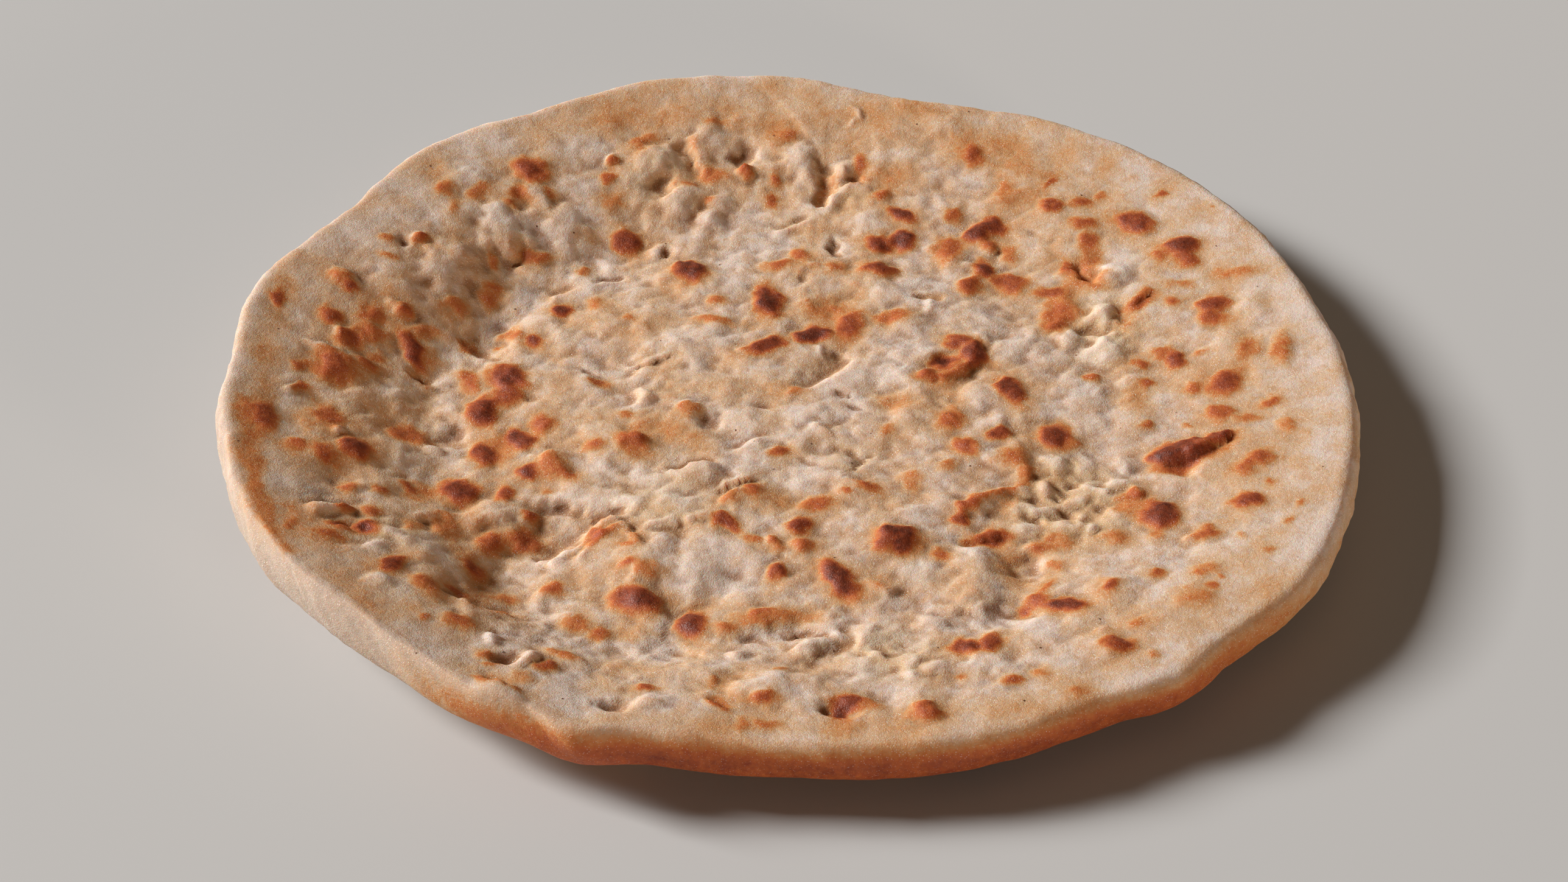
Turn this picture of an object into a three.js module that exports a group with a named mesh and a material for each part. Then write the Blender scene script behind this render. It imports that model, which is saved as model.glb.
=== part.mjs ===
// A potato paratha: one round of griddled flatbread, shallowly dished, with a plump rounded rim,
// browned blisters, pale lumps of filling under the dough and dents between them.
// Millimetres, +Z up. The origin is on the table under the middle of the bread.
import * as THREE from "three";
import { mergeVertices } from "three/addons/utils/BufferGeometryUtils.js";

// Driving dimensions
const THICKNESS = 8;
const OUTLINE_RADII = [
  94.5, 93.5, 94.5, 94.5, 92.5, 88, 91, 92, 90.5, 92, 89.5, 92.5,
  94, 96, 97, 95, 95.5, 92, 91, 92.5, 92.5, 94, 96.5, 95,
]; // every 15 degrees, counterclockwise from +X
const CORNERS = [
  [168, 6, 1.5],
  [250, 4, 2.5],
  [309, 5, 1.8],
]; // angle and spread in degrees, height over the outline
const RIM_RISE = [5, 5, 5.5, 7.5, 9, 10.5, 11, 10.5, 8.5, 5.5, 5, 5.5]; // every 30 degrees from +X
const CLIMB_BOW = [0, 0, 0, 0, 0.3, 0.8, 0.35, 0.7, 0.4, 0, 0, 0]; // how much steeper the climb's foot is
const CROWN_RISE = 1; // how far the middle stands above the trough round it
const EDGE_REACH = 2.9; // how wide the rounded edge is, seen from above
const EDGE_SQUARENESS = 2.4; // 2 would make the edge half an ellipse

// Shares of the outline's radius
const FOOT_SHARE = [
  0.55, 0.55, 0.55, 0.56, 0.58, 0.6, 0.66, 0.655, 0.71, 0.64, 0.55, 0.55,
]; // where the bread starts to climb to its rim, every 30 degrees from +X
const FOOT_BEND = 0.06; // how wide the bend is there
const CROWN_TOP_SHARE = 0.4;
const CROWN_FOOT_SHARE = 0.55;

// Browned blisters: x, y, length, width, turn of the length in degrees, height
const BLISTERS = [
  [-46, 62, 9, 8, 20, 0.8],
  [-28.5, 45, 7, 7, 0, 1.4],
  [-17, 37.5, 8, 8, 0, 1],
  [20.5, 53.5, 8, 5, -50, 1.1],
  [17.5, 46.5, 10, 6, -10, 1],
  [33.5, 48, 9, 8, 40, 1],
  [60.5, 49, 8, 6, -30, 0.8],
  [68.5, 41, 9, 8, 30, 1],
  [36, 36.5, 8, 6, -45, 0.9],
  [-76.5, 24, 7, 6, -30, 0.9],
  [-64, 12.5, 9, 5, 110, 1],
  [-47.5, 6, 9, 8, -60, 1],
  [-51, -1, 8, 7, -30, 1.1],
  [-51.5, -13.5, 8, 6, 95, 1],
  [-54, -24, 8, 7, 0, 1],
  [-72, -17, 7, 6, 0, 1],
  [-4, 27.5, 9, 6, 110, 1.1],
  [4.5, 19, 9, 7, 120, 1.2],
  [-5, 15, 9, 5, 30, 1.2],
  [28.5, 11, 14, 10, 50, 1.2],
  [37, 2, 9, 7, 115, 1.2],
  [43.5, -9.5, 9, 8, 80, 1.1],
  [65, -15, 15, 8, 25, 1.4],
  [73, 4, 10, 6, 55, 0.9],
  [60, -32, 9, 8, 30, 1],
  [17, -36, 11, 9, -10, 1.2],
  [8, -45, 10, 7, 115, 1.3],
  [-24.5, -50.5, 12, 9, -25, 1.5],
  [-16, -56.5, 8, 7, 110, 1.3],
  [-5, -56, 15, 6, 12, 1.1],
  [43, -53.5, 8, 6, -20, 1.3],
  [28.5, -63.5, 9, 7, 20, 1.2],
];

// Pale lumps where the filling pushes the dough up, in the same order of values
const LUMPS = [
  [-25.5, 64.5, 13, 7, 28, 2.2],
  [-22, 56.5, 12, 8, 55, 2],
  [-14, 52.5, 7, 7, 0, 1.3],
  [0, 66.5, 14, 7, -75, 1.5],
  [9, 62.5, 10, 6, 60, 1.3],
  [-44.5, 53, 10, 6, -68, 1.6],
  [-23.5, 43.5, 7, 6, 30, 1],
  [56, 35, 8, 7, 60, 1.1],
  [54, 24, 8, 7, 0, 1.5],
  [47.5, 18, 8, 7, 0, 1.3],
  [53.5, 14, 10, 9, 0, 1.4],
  [48.5, -3.5, 11, 10, 90, 1.3],
  [45, -17, 9, 7, 0, 1.3],
  [40, -29, 9, 7, 30, 1.2],
  [43, -34, 8, 6, 10, 1.2],
  [51, -23, 10, 7, 100, 1.1],
  [-34, -35, 16, 6, 45, 1.5],
  [-15.5, 18, 16, 14, 90, 1.1],
  [19.5, 9, 20, 10, 90, 0.9],
  [-15, -21, 11, 7, 10, 0.9],
  [-14, -36, 10, 7, 0, 0.9],
  [31, -42, 12, 10, 20, 0.9],
  [4, -61, 13, 7, 45, 1.2],
  [-74, -37, 10, 5, 24, 1.2],
  [-41.5, -71, 8, 5, 65, 1.2],
  [-21, -80.5, 8, 6, 0, 1],
  [-5, -75.5, 11, 10, 0, 1.5],
  [47.5, -66, 9, 8, 0, 0.9],
];

// Dents and folds in the dough, with depths below the surface
const DENTS = [
  [-19.5, 66, 11, 5, 110, -1.4],
  [-10.5, 68.5, 7, 5, 0, -1.2],
  [6, 62, 11, 5, 100, -1.3],
  [-26.5, 58, 7, 5, 60, -1.3],
  [-48, 45, 6, 5, 0, -1],
  [-57.5, -10.5, 8, 7, 90, -1.3],
  [-63, 8.5, 7, 5, -20, -1.2],
  [51.5, 34.5, 7, 5, 40, -1.5],
  [-14, -5.5, 7, 6, 110, -1.1],
  [3, 7.5, 12, 5, 40, -1],
  [26, 11, 6, 5, 30, -1.1],
  [-37, -30, 12, 9, 65, -1.5],
  [41, -45, 16, 10, 100, -1.3],
  [34, -54.5, 11, 9, 60, -1.5],
  [-48, -45, 7, 6, 0, -1.3],
  [-52, -56, 9, 6, -10, -1.3],
  [-44, -72, 7, 6, 0, -1.3],
  [-27.5, -81, 7, 5, 0, -1.4],
  [7, -81, 7, 6, 0, -1.6],
];

// How the surface is shared out: an even sphere's area goes to the top, the wall and the underside
const SPHERE_DETAIL = 23;
const TOP_SHARE = 0.64;
const WALL_SHARE = 0.16;

const CRUST = new THREE.MeshStandardMaterial({
  color: new THREE.Color(0xd2aa84),
  roughness: 0.75,
  metalness: 0,
});

const FULL_TURN_DEGREES = 360;
const HALF_THICKNESS = THICKNESS / 2;

// A smooth closed curve through values that are spread evenly round a full turn
function closedCurve(values) {
  const points = values.map((value) => new THREE.Vector3(value, 0, 0));
  return new THREE.CatmullRomCurve3(points, true, "catmullrom");
}

const outlineCurve = closedCurve(OUTLINE_RADII);
const riseCurve = closedCurve(RIM_RISE);
const footCurve = closedCurve(FOOT_SHARE);
const bowCurve = closedCurve(CLIMB_BOW);

// Radius of the outline at a part of a full turn, with its corners
function outlineRadius(turn) {
  return CORNERS.reduce((radius, [middle, spread, height]) => {
    const away = (turn - middle / FULL_TURN_DEGREES) / (spread / FULL_TURN_DEGREES);
    return radius + height * Math.exp(-(away ** 2));
  }, outlineCurve.getPoint(turn).x);
}

// The climb from the flat middle to the rim, from 0 to 1, with a bend at its foot and a bow above it
function climb(share, turn) {
  const foot = footCurve.getPoint(turn).x;
  const past = Math.max(share - foot + FOOT_BEND / 2, 0);
  const height = past < FOOT_BEND ? past ** 2 / (2 * FOOT_BEND) : past - FOOT_BEND / 2;
  const run = height / (1 - foot);
  return run * (1 + bowCurve.getPoint(turn).x * (1 - run));
}

// Reach and height of the edge at a slant, as shares of its width and of half the thickness
function edgeProfile(slant) {
  const power = 2 / EDGE_SQUARENESS;
  const height = Math.sin(slant);
  return [Math.abs(Math.cos(slant)) ** power, Math.sign(height) * Math.abs(height) ** power];
}

// Height of a round-topped bump at a point, zero outside its oval
function bump(x, y, [centreX, centreY, length, width, turn, height]) {
  const angle = THREE.MathUtils.degToRad(turn);
  const along = (x - centreX) * Math.cos(angle) + (y - centreY) * Math.sin(angle);
  const across = (y - centreY) * Math.cos(angle) - (x - centreX) * Math.sin(angle);
  const inside = 1 - (2 * along / length) ** 2 - (2 * across / width) ** 2;
  return inside > 0 ? height * inside ** 2 : 0;
}

// Relief of the upper face over the plain dish
function relief(x, y, share) {
  const crown = 1 - THREE.MathUtils.smoothstep(share, CROWN_TOP_SHARE, CROWN_FOOT_SHARE);
  return [...BLISTERS, ...LUMPS, ...DENTS].reduce(
    (height, feature) => height + bump(x, y, feature),
    CROWN_RISE * crown,
  );
}

// Where a point of the unit sphere lands on the bread
function place(point) {
  const angle = Math.atan2(point.y, point.x);
  const turn = THREE.MathUtils.euclideanModulo(angle / (2 * Math.PI), 1);
  const radius = outlineRadius(turn);
  const flatRadius = radius - EDGE_REACH;
  const area = (1 - point.z) / 2;
  const wall = THREE.MathUtils.clamp((area - TOP_SHARE) / WALL_SHARE, 0, 1);
  const [outward, upward] = edgeProfile(Math.PI * (0.5 - wall));
  let reach = flatRadius + EDGE_REACH * outward;
  if (wall === 0) reach = flatRadius * Math.sqrt(area / TOP_SHARE);
  if (wall === 1) reach = flatRadius * Math.sqrt((1 - area) / (1 - TOP_SHARE - WALL_SHARE));
  const share = reach / radius;
  const x = reach * Math.cos(angle);
  const y = reach * Math.sin(angle);
  const middle = HALF_THICKNESS + riseCurve.getPoint(turn).x * climb(share, turn);
  const upper = Math.max(upward, 0);
  return point.set(x, y, middle + HALF_THICKNESS * upward + upper * relief(x, y, share));
}

// The bread as a sphere of even triangles pressed into its form
function breadGeometry() {
  const sphere = new THREE.IcosahedronGeometry(1, SPHERE_DETAIL);
  sphere.deleteAttribute("normal");
  sphere.deleteAttribute("uv");
  const geometry = mergeVertices(sphere);
  const positions = geometry.getAttribute("position");
  const point = new THREE.Vector3();
  for (let i = 0; i < positions.count; i += 1) {
    place(point.fromBufferAttribute(positions, i));
    positions.setXYZ(i, point.x, point.y, point.z);
  }
  geometry.computeVertexNormals();
  return geometry;
}

const bread = new THREE.Mesh(breadGeometry(), CRUST);
bread.name = "paratha";

const part = new THREE.Group();
part.add(bread);

export default part;
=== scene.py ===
import math

import bpy
import numpy as np
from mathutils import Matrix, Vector


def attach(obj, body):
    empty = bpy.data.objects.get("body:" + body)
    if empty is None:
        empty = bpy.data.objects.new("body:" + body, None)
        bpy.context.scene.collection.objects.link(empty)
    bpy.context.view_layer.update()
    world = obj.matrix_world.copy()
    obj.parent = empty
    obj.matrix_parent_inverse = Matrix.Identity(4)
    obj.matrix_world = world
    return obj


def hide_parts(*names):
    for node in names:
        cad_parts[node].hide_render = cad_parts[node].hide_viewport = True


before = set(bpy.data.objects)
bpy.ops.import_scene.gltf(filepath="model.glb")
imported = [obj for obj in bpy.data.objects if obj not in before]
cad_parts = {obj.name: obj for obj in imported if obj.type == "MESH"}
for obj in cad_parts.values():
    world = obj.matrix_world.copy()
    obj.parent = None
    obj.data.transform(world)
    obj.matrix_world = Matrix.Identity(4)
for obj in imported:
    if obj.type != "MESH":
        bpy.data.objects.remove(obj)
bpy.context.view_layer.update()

# The bread is modelled in millimetres and placed in metres
MILLIMETRE = 0.001

# Form of the bread: the same driving dimensions as the solid
THICKNESS = 8
OUTLINE_RADII = (
    94.5, 93.5, 94.5, 94.5, 92.5, 88, 91, 92, 90.5, 92, 89.5, 92.5,
    94, 96, 97, 95, 95.5, 92, 91, 92.5, 92.5, 94, 96.5, 95,
)  # every 15 degrees, counterclockwise from +X
CORNERS = ((168, 6, 1.5), (250, 4, 2.5), (309, 5, 1.8))  # angle and spread in degrees, height
RIM_RISE = (5, 5, 5.5, 7.5, 9, 10.5, 11, 10.5, 8.5, 5.5, 5, 5.5)  # every 30 degrees from +X
CROWN_RISE = 1
FOOT_SHARE = (0.55, 0.55, 0.55, 0.56, 0.58, 0.6, 0.66, 0.655, 0.71, 0.64, 0.55, 0.55)  # in the same way
CLIMB_BOW = (0, 0, 0, 0, 0.3, 0.8, 0.35, 0.7, 0.4, 0, 0, 0)  # in the same way
FOOT_BEND = 0.06
CROWN_TOP_SHARE = 0.4
CROWN_FOOT_SHARE = 0.55
EDGE_REACH = 2.9
EDGE_SQUARENESS = 2.4

# Fineness of the mesh: ring k of a disc has SECTORS times k vertices
SECTORS = 6
TOP_RINGS = 150
WALL_RINGS = 11
UNDER_RINGS = TOP_RINGS // 2
RIM_VERTICES = SECTORS * TOP_RINGS

# Browned blisters and spots: x, y, length, width, turn of the length in degrees, browning from 0 to 1
SPOTS = (
    # back left
    (-46.3, 60.3, 8, 6.5, -30, 0.7), (-60, 51.5, 4.5, 3.5, 90, 0.4), (-55, 52.5, 7, 3, 60, 0.4),
    (-59, 47, 6, 2, 80, 0.35), (-42.5, 55, 3, 3, 0, 0.4), (-32.5, 61, 3, 3, 0, 0.5),
    (-31.5, 64.5, 4, 2.5, 90, 0.5), (-31.5, 55.5, 6, 4, 90, 0.35), (-44.5, 39.5, 6, 4, 0, 0.45),
    (-64, 37, 3.5, 3, 0, 0.5), (-70, 35.5, 3, 3, 0, 0.4), (-69, 31.5, 4, 2, 0, 0.4),
    (-52, 37, 5, 2, 90, 0.4), (-36, 37.5, 4, 3, 90, 0.5), (-51.5, 31.5, 4, 3, 0, 0.4),
    (-49.5, 50.5, 2.5, 2.5, 0, 0.35), (-29, 46, 5.5, 4.5, 70, 0.75), (-26.5, 70.5, 6, 3, 45, 0.35),
    (-48, 54, 5, 4, 90, 0.45),
    # back
    (-17.3, 36.8, 6, 5.5, 100, 0.92), (-14, 63.5, 6, 4, 0, 0.4), (-8.5, 65.5, 6, 2.5, 90, 0.5),
    (-2.5, 62, 2.5, 2.5, 0, 0.45), (-3.5, 57.5, 4, 2, 90, 0.5), (-1, 74.5, 4, 3.5, -60, 0.3),
    (-14, 77, 5, 2.5, 0, 0.35), (12, 67.5, 5, 3.5, 90, 0.5), (15.5, 59, 4, 2.5, 20, 0.3),
    (-18, 60.5, 3, 2, 0, 0.4), (-14.5, 57, 3, 2, 0, 0.4), (-2.5, 39, 6, 4, 0, 0.5),
    (1, 42, 5, 4, 90, 0.45), (7.5, 38, 4, 2.5, 0, 0.3), (19.5, 53, 6.5, 3, -45, 0.85),
    (19.5, 47, 5, 4.5, -5, 0.85), (15.5, 46.5, 5, 4, -5, 0.8), (15.5, 38, 6, 4.5, -15, 0.7),
    (28.5, 53, 4, 3.5, 90, 0.45), (27.5, 44, 8, 6, 90, 0.5),
    # back right
    (35, 50, 5, 4.5, 25, 0.85), (32.5, 47.5, 5, 4.5, 25, 0.85), (34.5, 44.5, 4, 4, 0, 0.4),
    (46, 54, 4.5, 4, 0, 0.65), (60.5, 49, 8, 5, -30, 0.75), (68, 41, 6, 5.5, 0, 0.82),
    (68.5, 37.5, 4, 4, 0, 0.6), (64, 39, 3, 3, 0, 0.4), (33.5, 38, 6, 4, 90, 0.9),
    (38, 35, 7, 5, -40, 0.65), (31.5, 33, 5, 5, 0, 0.65), (44.5, 31.5, 6, 3, -10, 0.6),
    (51, 54.5, 5, 3, 0, 0.5), (54.5, 56.5, 3, 2, 50, 0.4), (51, 49.5, 5, 3.5, 0, 0.55),
    (52, 44.5, 6, 4, 90, 0.55), (65.5, 56.5, 1.8, 1.8, 0, 0.6), (46, 60.5, 4, 1.5, 65, 0.6),
    (38, 59.5, 4, 3, 90, 0.3), (40.5, 57, 10, 5, 0, 0.2), (32.5, 68.5, 6, 4, 90, 0.5),
    (38, 42.5, 5, 3, 100, 0.35), (48, 38, 6, 2, 110, 0.55), (67, 31.5, 5, 3, 0, 0.35),
    (77, 33, 8, 3, 0, 0.3), (74, 51.5, 1.2, 1.2, 0, 0.35),
    # left
    (-40, 26.5, 3.5, 3.5, 0, 0.8), (-44, 18, 3.5, 2.5, 110, 0.75), (-47.5, 6.5, 7, 6.5, 0, 0.85),
    (-51.5, -2, 8, 5.5, 100, 0.8), (-45, -9.5, 5.5, 4, -65, 0.85), (-51, -13.5, 7.5, 4.5, 100, 0.75),
    (-43.5, -18.5, 4.5, 3, -50, 0.8), (-54.5, -23.8, 6.5, 5.5, 0, 0.8), (-46.5, -24.5, 4.5, 4, 90, 0.7),
    (-71.5, -18, 6, 5, 90, 0.75), (-64, 12, 7, 3.5, -65, 0.75), (-78, 15.5, 5, 4, 0, 0.6),
    (-86.5, 17, 4, 2.5, 90, 0.6), (-75.5, 22.5, 2.5, 2.5, 0, 0.65), (-86.5, -15, 8, 5, 100, 0.6),
    (-71.5, 17.5, 5, 4, 0, 0.45), (-70.5, 13, 7, 5, 0, 0.42), (-66, 20.5, 4, 4, 0, 0.5),
    (-74.5, 11, 6, 5, 90, 0.5), (-71.5, 6, 4, 3.5, 0, 0.45), (-69.5, 9, 4, 2, 0, 0.4),
    (-77, 3, 8, 6, 90, 0.5), (-82, 1, 3, 2.5, 0, 0.4), (-81, -4.5, 3, 2.5, 0, 0.5),
    (-76.5, -10.5, 8, 4, -60, 0.5), (-63, -10, 7, 6, 0, 0.38), (-80, -20.5, 4, 3, 0, 0.45),
    (-75.5, -21.5, 6, 4, -60, 0.5), (-63, -24.5, 3.5, 2, 110, 0.5), (-71.5, -29, 5, 3.5, 90, 0.45),
    (-66.5, -28, 3, 3, 0, 0.45), (-48, 1.5, 6, 6, 0, 0.6), (-54.5, 6.5, 5.5, 4, 110, 0.5),
    (-41.5, -6, 5, 4, 100, 0.55), (-39.5, -17, 6, 6, 0, 0.35), (-37, -19, 4, 2, -30, 0.5),
    (-33, -12.5, 4.5, 3.5, 0, 0.5), (-32.5, 5, 4.5, 2.5, -10, 0.55), (-48, 20.5, 5, 4, 0, 0.4),
    (-34, 28, 4, 3, 90, 0.35), (-42.5, -28.5, 3, 3, 0, 0.45), (-40, -23, 3, 2, 0, 0.4),
    (-55, 17, 4, 4, 0, 0.4), (-58, 24.5, 5, 4, 0, 0.35), (-62, 17, 5, 4, 0, 0.35),
    (-52.5, 28.5, 5, 4, 90, 0.4), (-61, 11.5, 4, 3, 90, 0.3),
    # middle
    (-4, 28, 10, 5, 100, 0.95), (3.5, 18.5, 6.5, 5, 0, 0.9), (10, 20.5, 9, 4, 75, 0.65),
    (-4.8, 14.5, 8, 4, 28, 0.8), (28, 16, 5, 3.5, 10, 0.7), (26, 10.5, 5.5, 4, 30, 0.88),
    (31, 12.5, 7, 4, 80, 0.85), (22.5, 6, 5, 2.5, 20, 0.4), (37, 2.5, 8, 4.8, 105, 0.8),
    (44.2, -10, 7.5, 6, 90, 0.8), (34, -9.5, 4, 3, 0, 0.75), (-2, -13.5, 4, 3.5, 0, 0.6),
    (28.5, -13, 5, 4, 90, 0.6), (17, 23.5, 6.5, 4.5, -10, 0.5), (-13, 22, 7, 3, -20, 0.4),
    (-13, 28, 4, 3.5, 0, 0.4), (-28, 23.5, 2, 2, 0, 0.35), (-27, -4, 3, 2.5, 0, 0.35),
    (-26.5, -11.5, 6, 6, 0, 0.45), (16, -7.5, 2.5, 2.5, 0, 0.3), (26.5, -5.5, 7, 5, 90, 0.5),
    (25.5, -18.5, 4, 4, 0, 0.35), (12.5, -23.5, 4, 3.5, 0, 0.45), (-6.5, -24, 5, 3, 80, 0.5),
    (-10.5, -27, 6, 5, 0, 0.3), (4, -27.5, 6, 4, 20, 0.45), (19.5, -21.5, 6, 4, 100, 0.35),
    (28.5, -28, 5, 3, 35, 0.45), (0.5, 2.5, 4, 3, 0, 0.3), (-17, -3.5, 5, 4, 0, 0.3),
    (27, -31, 3, 3, 0, 0.7), (1.5, -33.5, 5.5, 3.5, 35, 0.8), (-10.5, -32.5, 6, 3.5, -40, 0.7),
    # right
    (63.8, -14.6, 8.5, 6, 12, 0.85), (69, -12, 8.5, 3.2, 12, 0.8), (61.5, -18, 6, 4, 0, 0.55),
    (65.5, -16.5, 9, 3.5, 25, 0.65), (61.2, -15.8, 4.5, 4, 0, 0.9), (72, 24.5, 6, 5, 0, 0.75),
    (72, 21, 5, 4, 0, 0.6), (65, 10.5, 4, 4, 0, 0.75), (72.5, 3, 8, 5, 60, 0.65),
    (50.5, 7, 3.5, 3, -45, 0.5), (59.5, -31.5, 7.5, 7, 60, 0.85), (58.5, -36.5, 4, 2.5, -60, 0.35),
    (73.5, -30, 5, 4, 0, 0.7), (66, 27, 2.5, 2, 0, 0.5), (62.5, 12.5, 5, 3, 0, 0.45),
    (59, 10.5, 2.5, 2, 0, 0.55), (60, 5, 4, 3, 0, 0.55), (67.5, 2, 3, 3, 0, 0.35),
    (69.5, 12, 3, 2.5, 0, 0.35), (77, 12, 7, 4, 65, 0.4), (82.5, 11, 9, 5, 85, 0.4),
    (71.5, -5, 5, 4, 0, 0.45), (75.5, -7, 5, 3, 0, 0.4), (79.5, -3.5, 4, 2.5, 30, 0.5),
    (82, -10, 4, 4, 0, 0.3), (77, -18.5, 4.5, 4, 0, 0.55), (74.5, -20.5, 4, 3, 60, 0.45),
    (77.5, -25, 1.5, 1.5, 0, 0.5), (82.5, -31, 3, 1.5, 60, 0.4), (58.5, -6.5, 3, 2.5, 0, 0.5),
    (65.5, -7.5, 2, 1.5, 0, 0.4), (46, 25, 11, 7, 90, 0.5), (46, 21.5, 4, 3, 0, 0.45),
    (59.5, 26.5, 8, 2.5, 30, 0.4), (35.5, -16, 6, 5, 0, 0.35), (56, -25.5, 3, 3, 0, 0.3),
    # front left
    (-67.5, -40, 3.5, 3, 0, 0.8), (-62.5, -49.5, 4.5, 3, 70, 0.75), (-72.5, -40.5, 4.5, 3, 20, 0.55),
    (-67.5, -35, 4, 3, 100, 0.5), (-71.5, -36, 3, 2.5, 0, 0.45), (-56, -34, 7, 6, 90, 0.38),
    (-61, -36.5, 4, 4, 0, 0.3), (-48.5, -36, 7, 5, 90, 0.5), (-43.5, -34, 6, 5, 0, 0.5),
    (-51, -43, 4, 3, 90, 0.55), (-52.5, -51.5, 4, 2.5, 0, 0.55), (-57.5, -53.5, 6, 5, -60, 0.4),
    (-45.5, -55.5, 4, 3, -60, 0.5), (-38, -47, 4, 4, 0, 0.5), (-34, -56, 5, 5, 0, 0.4),
    (-30.5, -59, 4, 4, 0, 0.5), (-52, -63, 6, 5, 0, 0.45), (-38, -72.5, 4, 3.5, 0, 0.55),
    (-35.5, -68, 7, 3, -15, 0.4), (-47.5, -71, 4, 3, 100, 0.5), (-46, -74, 3, 2, 0, 0.4),
    (-48, -78.5, 4, 1, -45, 0.4), (-41.5, -77, 6, 4, 90, 0.3), (-41.5, -81.5, 3, 2, 0, 0.4),
    (-73, -44.5, 5, 3, 0, 0.3), (-79, -44, 3, 2, 90, 0.35), (-45.5, -49, 5, 3, 0, 0.35),
    (-31.5, -34.5, 4, 4, 0, 0.45),
    # front
    (17, -35.8, 6, 3.5, 0, 0.95), (17.8, -38.5, 4.5, 3, 90, 0.85), (15.2, -38, 4, 3.5, 60, 0.6),
    (16.8, -37, 8, 7, 0, 0.5), (7.7, -46, 9, 5, -60, 0.88), (-2.5, -44, 4, 3, 80, 0.7),
    (-25, -51, 8.5, 6, -20, 0.8), (-15.5, -56.5, 7, 5.5, 100, 0.85), (26.5, -64, 5, 4, 0, 0.8),
    (31, -64, 6, 4, 90, 0.7), (-22.5, -76, 5, 2.5, 0, 0.65), (-4.5, -79, 4.5, 3, 0, 0.55),
    (8.5, -79, 6, 3.5, 10, 0.75), (20.5, -81.5, 5.5, 4.5, 0, 0.5), (-4.5, -55, 14, 5, 5, 0.4),
    (-5, -54, 4, 3, 0, 0.5), (-1, -54, 3, 2, 0, 0.35), (-10.5, -57.5, 4, 4, 0, 0.4),
    (14.5, -48, 5, 4, 0, 0.2), (-3, -38, 3, 3, 0, 0.4), (1.5, -38, 4, 4, 0, 0.35),
    (-26, -43, 2.5, 2, 0, 0.5), (-22.5, -44, 5, 4, 0, 0.35), (-6.5, -36.5, 4, 3, -50, 0.4),
    (-27, -38, 3, 1.5, 0, 0.35), (23.5, -40, 4, 3, 0, 0.45), (-2.5, -70.5, 3.5, 2, 0, 0.4),
    (-12.5, -73.5, 3, 2, 90, 0.3), (-11.5, -81, 6, 1.5, -40, 0.4), (-4, -84.5, 6, 3, 0, 0.3),
    (-7.5, -85.5, 4, 2, 90, 0.35), (26, -72.5, 3, 1, 0, 0.4), (7, -81.5, 4, 3, 60, 0.9),
    (12, -79.5, 4, 3.5, 0, 0.35),
    # small ones here and there
    (-76.5, 24, 5.5, 4.5, -30, 0.35), (-50, 17, 1.5, 1.5, 0, 0.5), (9.5, -25, 2, 1.5, 0, 0.5),
    (-56.5, -63.5, 2, 2, 0, 0.35), (-33.5, -69, 3, 2, 0, 0.35), (72, -38.5, 2, 2, 0, 0.25),
    # front right
    (43, -54, 6, 4, -20, 0.85), (39, -51, 5, 4, 60, 0.6), (36.5, -53.5, 3, 3, 0, 0.65),
    (40.5, -48, 5, 2, 80, 0.45), (50, -51, 3.5, 3, 0, 0.65), (50, -51, 8, 8, 0, 0.15),
    (50.5, -66, 6, 4, 0, 0.7), (57.5, -47, 3.5, 3, 0, 0.5), (66, -47, 6, 4, 0, 0.3),
    (64, -48.5, 2.5, 2, 0, 0.45), (68.5, -49, 1.5, 1.5, 0, 0.5), (66.5, -52, 3, 2, 90, 0.5),
    (63, -54.5, 7, 6, 0, 0.25), (55.5, -60, 8, 4, 20, 0.2), (53.5, -60.5, 2.5, 2.5, 0, 0.35),
    (48.5, -62.5, 8, 3, 10, 0.15), (33.5, -73.5, 3, 2.5, 0, 0.55), (38.5, -72, 4, 2.5, 0, 0.3),
    (43.5, -77, 3, 3, 0, 0.25), (55.5, -68.5, 2, 2, 0, 0.3), (66.5, -37.5, 5, 4, 20, 0.55),
    (52, -36.5, 5, 4, 0, 0.35), (79.5, -35.5, 2, 1.5, 60, 0.5), (76, -42.5, 2, 1.5, 0, 0.4),
    (32, -35.5, 6, 4, 0, 0.5), (42, -42.5, 3, 3, 0, 0.3),
)

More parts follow.
